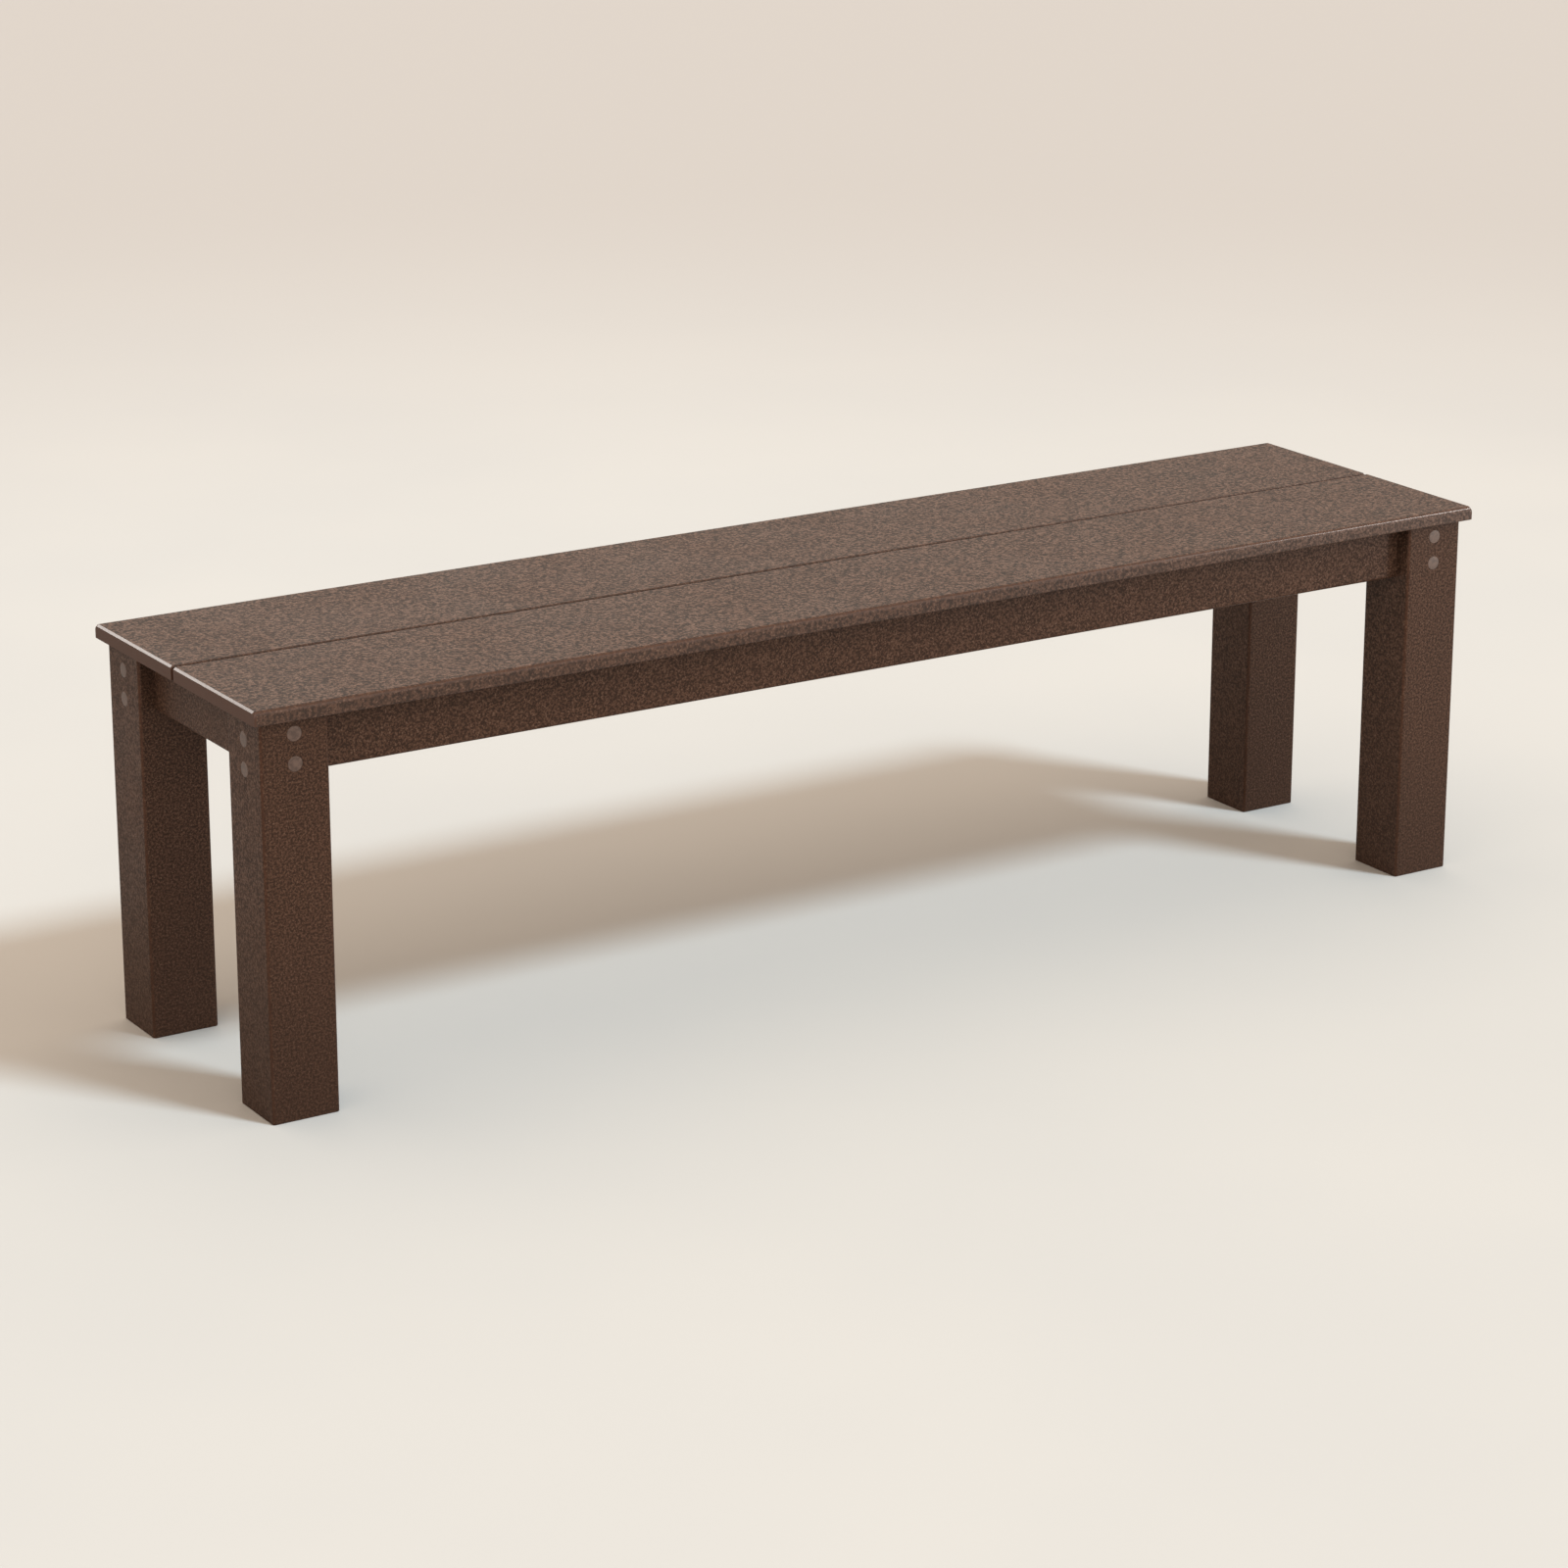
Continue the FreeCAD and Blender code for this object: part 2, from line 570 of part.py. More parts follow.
def group_of(name, master, places):
    """Separate solids of one fastener. Each place is (direction of its head, x, y, z)."""
    links = []
    for index, (direction, x, y, z) in enumerate(places):
        link = doc.addObject("App::Link", f"{name}_{index}")
        link.LinkedObject = master
        place(link, x, y, z, TURN_TO[direction])
        links.append(link)
    group = doc.addObject("Part::Compound", name)
    group.Label = name
    group.Links = links
    return group


def leg_fastener_places(x_side, y_side):
    """Outer-face points of one leg's four fasteners."""
    end_face = signed(x_side, f"({LEG_CENTRE_X} + {S['leg_side']} / 2)")
    long_face = signed(y_side, f"({LEG_CENTRE_Y} + {S['leg_side']} / 2)")
    along_x = "+x" if x_side > 0 else "-x"
    along_y = "+y" if y_side > 0 else "-y"
    places = [(along_x, end_face, signed(y_side, LONG_APRON_Y), z) for z in LONG_LAG_HEIGHTS]
    places += [(along_y, signed(x_side, END_APRON_X), long_face, z) for z in END_LAG_HEIGHTS]
    return places


def slat_screw_places(x):
    """One row of slat screws, two in each slat, driven upwards."""
    seat = f"({SEAT_UNDERSIDE} - {SLAT_SCREW_IN_SUPPORT})"
    return [("-z", x, y, seat) for side in (-1, 1) for y in slat_screw_sides(side)]


def bracket_screw_places(x):
    """The eight screws of one cross support's two brackets."""
    places = []
    for side in (-1, 1):
        face = f"({SUPPORT_LENGTH} / 2 - {S['bracket_thickness']})"
        upper_y = f"({SUPPORT_LENGTH} / 2 - {BRACKET_HOLE_FROM_HEEL})"
        upper_z = f"({SUPPORT_BOTTOM} - {S['bracket_thickness']})"
        lower_z = f"({SUPPORT_BOTTOM} - {BRACKET_HOLE_FROM_HEEL})"
        for way in (-1, 1):
            across = f"({x} + {signed(way, S['bracket_hole_spacing'])} / 2)"
            places.append(("-z", across, signed(side, upper_y), upper_z))
            places.append(("-y" if side > 0 else "+y", across, signed(side, face), lower_z))
    return places


# ------------------------------------------------------------------ the assembly
SIDES_Y = {"front": -1, "rear": 1}
SIDES_X = {"left": -1, "right": 1}
SUPPORT_PLACES = {"left": negative(SUPPORT_SPACING), "middle": "0", "right": SUPPORT_SPACING}

nodes = []
for side_name, side in SIDES_Y.items():
    nodes.append(seat_slat(f"seat_slat_{side_name}", side))
    nodes.append(long_apron(f"apron_{side_name}", side))
for side_name, side in SIDES_X.items():
    nodes.append(end_apron(f"apron_{side_name}", side))
for support_name, support_x in SUPPORT_PLACES.items():
    nodes.append(cross_support(f"cross_support_{support_name}", support_x))
    for side_name, side in SIDES_Y.items():
        nodes.append(angle_bracket(f"bracket_{support_name}_{side_name}", support_x, side))

lag_screw, washer, plug_cap, slat_screw, bracket_screw = fastener_masters()
for y_name, y_side in SIDES_Y.items():
    for x_name, x_side in SIDES_X.items():
        corner = f"{y_name}_{x_name}"
        nodes.append(leg(f"leg_{corner}", x_side, y_side))
        points = leg_fastener_places(x_side, y_side)
        nodes.append(group_of(f"lag_screws_{corner}", lag_screw, points))
        nodes.append(group_of(f"washers_{corner}", washer, points))
        nodes.append(group_of(f"plug_caps_{corner}", plug_cap, points))
for row_name, row_x in SCREW_ROWS.items():
    nodes.append(group_of(f"slat_screws_{row_name}", slat_screw, slat_screw_places(row_x)))
for support_name, support_x in SUPPORT_PLACES.items():
    nodes.append(group_of(f"bracket_screws_{support_name}", bracket_screw,
                          bracket_screw_places(support_x)))
doc.recompute()

# ------------------------------------------------------------------ checks, then the files
for item in doc.Objects:
    if {"Invalid", "Error"} & set(item.State):
        raise RuntimeError(f"{item.Label} did not compute: {item.State}")
for node in nodes:
    if node.Shape.isNull() or not node.Shape.isValid():
        raise RuntimeError(f"{node.Label} has no valid shape")

os.makedirs("parts", exist_ok=True)
for node in nodes:
    node.Shape.exportStep(f"parts/{node.Label}.step")
box = Part.makeCompound([node.Shape for node in nodes]).BoundBox
print(f"{len(nodes)} nodes, {sum(len(node.Shape.Solids) for node in nodes)} solids, "
      f"{box.XLength:.2f} x {box.YLength:.2f} x {box.ZLength:.2f} mm")
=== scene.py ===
# %% [markdown]
# # A backless garden bench of plastic lumber
# The bench is two long seat slats on a frame of four square legs, with aprons between the
# legs and cross supports under the slats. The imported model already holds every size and
# place, so this lesson only gives the pieces their surfaces: rounded edges, sawn ends, bored
# screw seats and a pebbled plastic skin. Everything is in metres, in the model's own frame.

# %% Load the frame
import math

import bmesh
import bpy
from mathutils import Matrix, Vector


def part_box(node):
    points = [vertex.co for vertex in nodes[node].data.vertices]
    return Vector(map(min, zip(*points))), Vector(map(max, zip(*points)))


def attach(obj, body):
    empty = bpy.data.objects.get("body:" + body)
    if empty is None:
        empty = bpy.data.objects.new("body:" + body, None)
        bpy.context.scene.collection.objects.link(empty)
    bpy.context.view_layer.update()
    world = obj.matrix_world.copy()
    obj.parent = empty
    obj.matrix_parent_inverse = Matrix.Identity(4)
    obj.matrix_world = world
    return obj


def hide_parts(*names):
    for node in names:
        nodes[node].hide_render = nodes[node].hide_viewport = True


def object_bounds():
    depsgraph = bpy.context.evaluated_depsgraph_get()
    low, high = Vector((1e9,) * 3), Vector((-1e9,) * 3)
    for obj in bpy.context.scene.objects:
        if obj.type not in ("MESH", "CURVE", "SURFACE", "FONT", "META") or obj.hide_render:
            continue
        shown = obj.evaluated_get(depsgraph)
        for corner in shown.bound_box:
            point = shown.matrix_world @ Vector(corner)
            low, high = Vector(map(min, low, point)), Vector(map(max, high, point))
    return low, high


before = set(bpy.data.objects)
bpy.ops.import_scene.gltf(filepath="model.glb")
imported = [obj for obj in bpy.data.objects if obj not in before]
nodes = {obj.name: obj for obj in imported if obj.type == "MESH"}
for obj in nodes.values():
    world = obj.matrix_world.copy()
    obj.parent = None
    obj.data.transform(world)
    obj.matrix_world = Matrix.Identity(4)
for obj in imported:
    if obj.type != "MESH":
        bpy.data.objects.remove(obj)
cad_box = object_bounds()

MM = 0.001
bench_low, bench_high = cad_box
print("bench size in mm:", [round(side / MM, 2) for side in bench_high - bench_low])


# %% [markdown]
# ## Sums on shader sockets
# A finish is a tree of nodes, and most of it is plain arithmetic on patterns. Linking Math
# nodes by hand hides that arithmetic, so one small class wraps a node's output and makes
# +, - and * add the Math node for us. Every other node comes from one method that takes the
# node's type, its settings and the values or wires of its sockets.

# %% A wire that can be added and multiplied
class Wire:
    """One node output. Arithmetic on it adds Math nodes to the same tree."""

    def __init__(self, sheet, socket):
        self.sheet = sheet
        self.socket = socket

    def math(self, operation, *values):
        return self.sheet.node("ShaderNodeMath", {"operation": operation}, dict(enumerate(values)))

    def __add__(self, other):
        return self.math("ADD", self, other)

    __radd__ = __add__

    def __sub__(self, other):
        return self.math("SUBTRACT", self, other)

    def __rsub__(self, other):
        return self.math("SUBTRACT", other, self)

    def __mul__(self, other):
        return self.math("MULTIPLY", self, other)

    __rmul__ = __mul__


# %% A sheet of nodes
class NodeSheet:
    """A node tree being drawn up. node() is the only way in which nodes are added."""

    def __init__(self, owner):
        owner.use_nodes = True
        self.owner = owner
        self.tree = owner.node_tree
        self.tree.nodes.clear()

    def node(self, kind, settings=None, sockets=None, out=0):
        """Add a node: its settings first, then its sockets, each a value or a wire."""
        made = self.tree.nodes.new(kind)
        for name, value in (settings or {}).items():
            setattr(made, name, value)
        for name, value in (sockets or {}).items():
            socket = self.find(made.inputs, name)
            if isinstance(value, Wire):
                self.tree.links.new(value.socket, socket)
            else:
                socket.default_value = value
        return Wire(self, self.find(made.outputs, out)) if len(made.outputs) else None

    def find(self, sockets, name):
        """A socket by its number, its identifier or its name."""
        if isinstance(name, int):
            return sockets[name]
        return next((s for s in sockets if s.identifier == name), None) or sockets[name]

    def noise(self, place, per_metre, detail=1.0, rough=0.5):
        """Soft random lumps, about per_metre of them along a metre; values from 0 to 1."""
        sockets = {"Vector": place, "Scale": per_metre, "Detail": detail, "Roughness": rough}
        return self.node("ShaderNodeTexNoise", None, sockets)

    def fade(self, value, low, high):
        """0 below low, 1 above high, and a smooth rise between them."""
        sockets = {"Value": value, "From Min": low, "From Max": high}
        return self.node("ShaderNodeMapRange", {"interpolation_type": "SMOOTHSTEP"}, sockets)

    def mix(self, share, first, second, clamped=True):
        """A colour that goes from first to second as share goes from 0 to 1."""
        settings = {"data_type": "RGBA", "clamp_factor": clamped}
        sockets = {"Factor_Float": share, "A_Color": first, "B_Color": second}
        return self.node("ShaderNodeMix", settings, sockets, "Result_Color")

    def stretch(self, place, factors):
        """The place with each axis scaled, which draws a pattern out along an axis."""
        return self.node("ShaderNodeVectorMath", {"operation": "MULTIPLY"}, {0: place, 1: factors})

    def facing(self):
        """The direction that the surface faces, in the piece's own frame."""
        return self.node("ShaderNodeTexCoord", None, None, "Normal")

    def upright(self, vector):
        """The upright part of a place or a direction."""
        return self.node("ShaderNodeSeparateXYZ", None, {0: vector}, 2)

    def bump(self, height):
        """The surface normal of a relief whose height is in metres."""
        return self.node("ShaderNodeBump", None, {"Height": height, "Distance": 1.0})


def new_finish(name):
    """An empty sheet that draws up one material."""
    return NodeSheet(bpy.data.materials.new(name))


def principled(finish, base, roughness, normal, specular):
    """Close a finish that isn't metal; what is the same all over is a plain number."""
    shader = finish.node("ShaderNodeBsdfPrincipled", None, {
        "Base Color": base,
        "Roughness": roughness,
        "Normal": normal,
        "Specular IOR Level": specular,
    })
    finish.node("ShaderNodeOutputMaterial", None, {"Surface": shader})
    return finish.owner


# %% [markdown]
# ## The pebbled skin of the lumber
# Plastic lumber is extruded through a die and pressed by a roller that leaves a fine pebble
# on its broad faces. One could displace the mesh, but the pebble is a few tenths of a
# millimetre high on pieces over a metre long, so relief belongs in the shader: lumps of
# noise drive the normal, the colour of their tops and hollows, and the gloss together. The
# highest tops are painted pale, a painted highlight in place of lamps glinting on them. The
# flow along the die shows as faint streaks along each piece. Handling rubs the rounded edges
# smoother, and a mesh attribute marks them; the finish also paints them a deeper, redder
# brown, which is painted shade. The seat gets a coarser pebble than the frame, and it is
# pressed deepest into the face that looks up, for a safer grip, where its painted highlight
# is strongest too.

# %% Colours of the brown plastic
BROWN_HOLLOW = (0.0240, 0.0120, 0.0073, 1)
BROWN_CREST = (0.0660, 0.0335, 0.0212, 1)
# painted highlight: the pale brown of the specks stands in for lamps glinting on the pebbles' tops
BROWN_SPECK_HIGHLIGHT = (0.20, 0.135, 0.10, 1)
# painted shade: a deeper, redder brown painted on the rounded edges; the sawn finish uses it as a tone
# too
BROWN_SHADE_AND_TONE = (0.056, 0.0235, 0.0135, 1)
BROWN_SAWN = (0.045, 0.0215, 0.0130, 1)
print("browns from hollow to crest:", BROWN_HOLLOW[:3], BROWN_CREST[:3])


# %% How the skin's patterns are weighed
FINE_RATIO = 2.1  # fine lumps to each pebble
PATCH_TONE = 0.30  # how far cloudy patches shift the brown
STREAK_TONE = 0.22  # how far the streaks of the die shift it
# painted highlight: the next share is how far the highest tops are painted pale
SPECK_HIGHLIGHT_SHARE = 0.36  # how pale the highest tops are
# painted shade: the next share is how much of that deeper brown the rounded edges get
EDGE_SHADE_SHARE = 0.5  # how much worn brown shows on rubbed edges
# painted shade: how much darker the legs are painted near the floor
FOOT_SHADE_SHARE = 0.45  # how much darker the feet are
FOOT_FADE_TOP = 0.30  # height above the floor where that ends
WAVE_HEIGHT = 0.25 * MM  # slow waves that the roller leaves
print("waves of", WAVE_HEIGHT / MM, "mm; feet darker up to", FOOT_FADE_TOP, "m")


# %% The skin's finish
def pebbled_skin(name, draw_out, per_metre, height, contrast, top_gain, specular):
    """Pebbled brown plastic: per_metre pebbles along a metre, of that height.

    draw_out is small along the piece's length, so that the streaks run that way. contrast
    spreads the browns of hollows and crests. top_gain is how much deeper the pebble is
    pressed into a face that looks up, and how much stronger its painted highlight is there.
    """
    finish = new_finish(name)
    place = finish.node("ShaderNodeTexCoord", None, None, "Object")
    pebbles = finish.noise(place, per_metre, detail=1.5, rough=0.6)
    fine = finish.noise(place, per_metre * FINE_RATIO)
    patches = finish.noise(place, per_metre=9.0, detail=2.0)
    streaks = finish.noise(finish.stretch(place, draw_out), per_metre=55.0, detail=2.0, rough=0.55)
    rub_and_shade = finish.node("ShaderNodeAttribute", {"attribute_name": "edge_rub_and_shade"}, None, "Fac")
    looks_up = finish.fade(finish.upright(finish.facing()), 0.80, 0.97)
    depth_and_glint = looks_up * (top_gain - 1) + 1

    # crest is 1 on the pebbles' tops, and the speck mask is 1 on the few that stand highest, which are
    # painted pale as a painted highlight
    crest = finish.fade(pebbles * 0.7 + fine * 0.3, 0.40, 0.60)
    speck_highlight = finish.fade(fine * 0.6 + pebbles * 0.4, 0.57, 0.68)
    grain = (crest - 0.5) * depth_and_glint * contrast + 0.5
    tone = grain + (patches - 0.5) * PATCH_TONE + (streaks - 0.5) * STREAK_TONE
    brown = finish.mix(tone, BROWN_HOLLOW, BROWN_CREST, clamped=False)
    # painted highlight: the highest tops turn pale, most on faces that look up
    brown = finish.mix(speck_highlight * depth_and_glint * SPECK_HIGHLIGHT_SHARE, brown, BROWN_SPECK_HIGHLIGHT)
    # painted shade: the rounded edges are painted a deeper, redder brown
    brown = finish.mix(rub_and_shade * EDGE_SHADE_SHARE, brown, BROWN_SHADE_AND_TONE)
    # painted shade: the colour darkens towards the floor, up to FOOT_FADE_TOP
    foot_shade = 1 - finish.fade(finish.upright(place), 0.0, FOOT_FADE_TOP)
    brown = finish.mix(foot_shade * FOOT_SHADE_SHARE, brown, BROWN_HOLLOW)

    # rubbing wears the relief down and polishes what is left
    relief = (pebbles + fine * 0.3) * depth_and_glint * (1 - rub_and_shade * 0.8) * height
    wave = finish.noise(place, per_metre=22.0) * WAVE_HEIGHT
    roughness = 0.56 - crest * 0.10 + (patches - 0.5) * 0.12 - rub_and_shade * 0.27
    return principled(finish, brown, roughness, finish.bump(relief + wave), specular)


# %% One skin for each direction of extrusion, and one for the seat
ALONG_X, ALONG_Y, ALONG_Z = 0, 1, 2
STREAK_DRAW = 0.06


def drawn_out(axis):
    """Scale factors that lengthen a pattern along one axis."""
    return tuple(STREAK_DRAW if k == axis else 1.0 for k in range(3))


frame_pebble = dict(per_metre=380, height=0.20 * MM, contrast=0.95, top_gain=1.0, specular=0.10)
seat_pebble = dict(per_metre=280, height=0.26 * MM, contrast=1.0, top_gain=1.65, specular=0.25)

skins = {}
for axis, letter in ((ALONG_X, "x"), (ALONG_Y, "y"), (ALONG_Z, "z")):
    skins[axis] = pebbled_skin(f"frame_skin_{letter}", drawn_out(axis), **frame_pebble)
seat_skin = pebbled_skin("seat_skin", drawn_out(ALONG_X), **seat_pebble)
print("skins:", seat_skin.name, [skin.name for skin in skins.values()])


# %% [markdown]
# ## Sawn ends
# A saw cuts through the skin, so an end face has no pebble. It is smooth and even, with the
# fine marks that the blade leaves. The rim that a router takes off afterwards is nearly
# polished, so it mirrors a lamp as a bright line. One could paint that line, but then it
# would stay where it is when the view turns. So one function draws up both finishes, and the
# rim only gets a lower roughness and shallower marks.

# %% The sawn finish
def sawn_plastic(name, gloss_roughness, mark_height, specular):
    """Bare cut plastic: even colour and very fine saw marks."""
    finish = new_finish(name)
    place = finish.node("ShaderNodeTexCoord", None, None, "Object")
    marks = finish.noise(finish.stretch(place, (1.0, 1.0, 7.0)), per_metre=160.0, detail=2.0, rough=0.6)
    cloud = finish.noise(place, per_metre=40.0, detail=2.0)
    tone = (marks - 0.5) * 0.5 + (cloud - 0.5) * 0.6 + 0.5
    brown = finish.mix(tone, BROWN_SAWN, BROWN_SHADE_AND_TONE)
    roughness = gloss_roughness + (marks - 0.5) * 0.10
    return principled(finish, brown, roughness, finish.bump(marks * mark_height), specular)


sawn = sawn_plastic("sawn_plastic", gloss_roughness=0.50, mark_height=0.012 * MM, specular=0.14)
planed_rim = sawn_plastic("planed_rim", gloss_roughness=0.20, mark_height=0.002 * MM, specular=0.30)
print("cut finishes:", sawn.name, planed_rim.name)


# %% [markdown]
# ## Plug caps and stainless steel
# The caps that hide the screws are moulded from a slightly lighter plastic, with a fine
# spark-eroded texture instead of the pebble. The screws, washers and brackets are stainless
# steel: metal needs a high Metallic value and brushed, uneven roughness to read as steel.

# %% The cap's finish
CAP_LIGHT = (0.094, 0.057, 0.043, 1)
CAP_DARK = (0.050, 0.029, 0.021, 1)
CAP_SPECULAR = 0.4
SPARK_HEIGHT = 0.02 * MM


def moulded_cap(name):
    """Smooth moulded plastic, a shade lighter than the lumber."""
    finish = new_finish(name)
    place = finish.node("ShaderNodeTexCoord", None, None, "Object")
    spark = finish.noise(place, per_metre=1300.0)
    cloud = finish.noise(place, per_metre=210.0, detail=2.0)
    brown = finish.mix(finish.fade(spark * 0.4 + cloud * 0.6, 0.36, 0.64), CAP_DARK, CAP_LIGHT)
    roughness = 0.46 + (cloud - 0.5) * 0.15
    return principled(finish, brown, roughness, finish.bump(spark * SPARK_HEIGHT), CAP_SPECULAR)


cap_plastic = moulded_cap("moulded_cap")
print("cap finish:", cap_plastic.name)


# %% The steel's finish
STEEL_DULL = (0.36, 0.355, 0.34, 1)
STEEL_BRIGHT = (0.60, 0.59, 0.57, 1)
SCRATCH_HEIGHT = 0.01 * MM


def brushed_steel(name):
    """Stainless steel as it comes from the roller, with soft scratches and stains."""
    finish = new_finish(name)
    place = finish.node("ShaderNodeTexCoord", None, None, "Object")
    brushed = finish.stretch(place, (1.0, 9.0, 9.0))
    scratches = finish.noise(brushed, per_metre=420.0, detail=2.0, rough=0.6)
    stains = finish.noise(place, per_metre=70.0, detail=2.0)
    grey = finish.mix(stains, STEEL_DULL, STEEL_BRIGHT)
    roughness = 0.24 + scratches * 0.16 + stains * 0.10
    shader = finish.node("ShaderNodeBsdfPrincipled", None, {
        "Base Color": grey,
        "Roughness": roughness,
        "Metallic": 1.0,
        "Normal": finish.bump(scratches * SCRATCH_HEIGHT),
    })
    finish.node("ShaderNodeOutputMaterial", None, {"Surface": shader})
    return finish.owner


steel = brushed_steel("brushed_steel")
print("steel finish:", steel.name)


# %% [markdown]
# ## A bar of lumber
# Every plank, post and rail is a rounded rectangle carried along a line. A cube with a Bevel
# modifier would do, but rings of points give full control: each ring is the rounded outline,
# drawn in a little at the two ends for the eased rim. The arcs get enough steps to stay
# round in a close view, and the faces of the ends take the sawn finish.

# %% The rounded outline of a bar
ARC_STEPS = 6


def rounded_outline(width, height, radii, inset, drop):
    """Points of a rounded rectangle, anticlockwise from its lower right corner.

    radii has one radius for each corner in that order; inset draws the whole outline in,
    and drop lowers its top edge.
    """
    corners = [(1, -1), (1, 1), (-1, 1), (-1, -1)]
    points = []
    for turn, ((side, level), radius) in enumerate(zip(corners, radii)):
        across = side * (width / 2 - radius)
        upright = level * (height / 2 - radius) - (drop if level > 0 else 0)
        for step in range(ARC_STEPS + 1):
            angle = math.pi / 2 * (turn - 1 + step / ARC_STEPS)
            reach = radius - inset
            points.append((across + reach * math.cos(angle), upright + reach * math.sin(angle)))
    return points


# %% From outline to solid bar
SKIN_FACES, SAWN_FACES, RIM_FACES = 0, 1, 2


def bar_mesh(name, low, high, axis, radii, ease, top_bevel):
    """A bar between two corners: skin on its sides, sawn ends, and an eased rim round each.

    ease is how far the rim is drawn in all round; top_bevel is how far its top edge is
    planed off, or 0 where the rim is the same all round.
    """
    size, middle = high - low, (high + low) / 2
    across, upright = [k for k in range(3) if k != axis]
    half, run_in = size[axis] / 2, max(ease, top_bevel)
    drop = max(top_bevel - ease, 0)
    stations = [(-half, ease, drop), (run_in - half, 0, 0), (half - run_in, 0, 0), (half, ease, drop)]
    shape = bmesh.new()
    rings = []
    for run, inset, lowered in stations:
        ring = []
        for u, v in rounded_outline(size[across], size[upright], radii, inset, lowered):
            point = middle.copy()
            point[axis] += run
            point[across] += u
            point[upright] += v
            ring.append(shape.verts.new(point))
        rings.append(ring)
    count = len(rings[0])
    for step, (near, far) in enumerate(zip(rings, rings[1:])):
        for k in range(count):
            side = shape.faces.new((near[k], near[(k + 1) % count], far[(k + 1) % count], far[k]))
            side.material_index = SKIN_FACES if step == 1 else RIM_FACES
    for ring in (rings[0], rings[-1]):
        shape.faces.new(ring).material_index = SAWN_FACES
    bmesh.ops.recalc_face_normals(shape, faces=shape.faces)
    mesh = bpy.data.meshes.new(name)
    shape.to_mesh(mesh)
    shape.free()
    return mesh


# %% [markdown]
# ## Boring the screw seats
# The legs are counterbored for the lag screws and their caps, and the end rails and cross
# supports for the slat screws. A Boolean modifier cuts them as a drill would: plain
# cylinders, each placed from the screw or cap that sits in it, and applied to the mesh so
# that nothing is left to chance later. The separate solids of a CAD node give the places.

# %% The separate solids of one CAD node
WELD = 0.001 * MM
SORT_PLACES = 4


def solids_of(node):
    """(lowest, highest corner) of each separate solid in a CAD node."""
    shape = bmesh.new()
    shape.from_mesh(nodes[node].data)
    bmesh.ops.remove_doubles(shape, verts=shape.verts, dist=WELD)
    waiting, boxes = set(shape.verts), []
    while waiting:
        front = [waiting.pop()]
        low, high = front[0].co.copy(), front[0].co.copy()
        while front:
            point = front.pop()
            low = Vector(map(min, low, point.co))
            high = Vector(map(max, high, point.co))
            near = [edge.other_vert(point) for edge in point.link_edges]
            fresh = [vert for vert in near if vert in waiting]
            waiting.difference_update(fresh)
            front.extend(fresh)
        boxes.append((low, high))
    shape.free()
    return sorted(boxes, key=lambda box: tuple(round(c, SORT_PLACES) for c in box[0]))


# %% Cylinders to cut with
HOLE_SIDES = 64


def add_drill(shape, start, end, radius):
    """One closed cylinder from start to end."""
    run = end - start
    turn = run.to_track_quat("Z", "Y").to_matrix()
    rings = []
    for centre in (start, end):
        ring = []
        for k in range(HOLE_SIDES):
            angle = math.tau * k / HOLE_SIDES
            spoke = Vector((math.cos(angle), math.sin(angle), 0)) * radius
            ring.append(shape.verts.new(centre + turn @ spoke))
        rings.append(ring)
    for k in range(HOLE_SIDES):
        j = (k + 1) % HOLE_SIDES
        shape.faces.new((rings[0][k], rings[0][j], rings[1][j], rings[1][k]))
    shape.faces.new(list(reversed(rings[0])))
    shape.faces.new(rings[1])


def bore(piece, holes):
    """Cut round holes, each (start outside, end inside, radius), and keep the result."""
    shape = bmesh.new()
    for start, end, radius in holes:
        add_drill(shape, start, end, radius)
    bmesh.ops.recalc_face_normals(shape, faces=shape.faces)
    mesh = bpy.data.meshes.new("drill")
    shape.to_mesh(mesh)
    shape.free()
    mesh.materials.append(sawn)
    drill = bpy.data.objects.new("drill", mesh)
    bpy.context.scene.collection.objects.link(drill)
    cut = piece.modifiers.new("bore", "BOOLEAN")
    cut.operation = "DIFFERENCE"
    cut.solver = "EXACT"
    cut.material_mode = "TRANSFER"
    cut.object = drill
    keep_modifiers(piece)
    bpy.data.objects.remove(drill)
    bpy.data.meshes.remove(mesh)


def keep_modifiers(piece):
    """Replace the piece's mesh by what its modifiers make of it."""
    shaped = piece.evaluated_get(bpy.context.evaluated_depsgraph_get())
    mesh = bpy.data.meshes.new_from_object(shaped)
    piece.modifiers.clear()
    old = piece.data
    piece.data = mesh
    bpy.data.meshes.remove(old)


# %% [markdown]
# ## Marking the rubbed edges and shading the rounds
# Hands and legs polish the widest rounds first. That could be painted by hand, but it can be
# worked out too: a point on the middle of a round stands a little inside both of the faces
# that meet there, and no other point does. That distance, turned into a number from 0 to 1,
# is kept on the mesh for the finish to read, and smaller rounds get smaller numbers. The
# finish smooths and polishes the rounds by it, and paints them a deeper, redder brown, which
# is painted shade. Weighted normals then keep the broad faces flat while the rounds turn
# smoothly.

# %% The edge_rub_and_shade attribute
RUB_SPREAD = 2
ROUNDING_SLACK = 0.01


def mark_rubbed_and_shaded_edges(mesh, low, high, radius):
    """Store the edge mask for rubbing and painted shade: 1 over most of a rounded edge, 0 on flat faces
    and in holes.
    """
    inside_at_middle = radius * (1 - math.sqrt(0.5))
    rub_and_shade = mesh.attributes.new("edge_rub_and_shade", "FLOAT", "POINT")
    for vert in mesh.vertices:
        gaps = [min(vert.co[k] - low[k], high[k] - vert.co[k]) for k in range(3)]
        share = min(gaps) / inside_at_middle
        on_round = share <= 1 + ROUNDING_SLACK and sorted(gaps)[1] < radius
        rub_and_shade.data[vert.index].value = min(RUB_SPREAD * share, 1) if on_round else 0


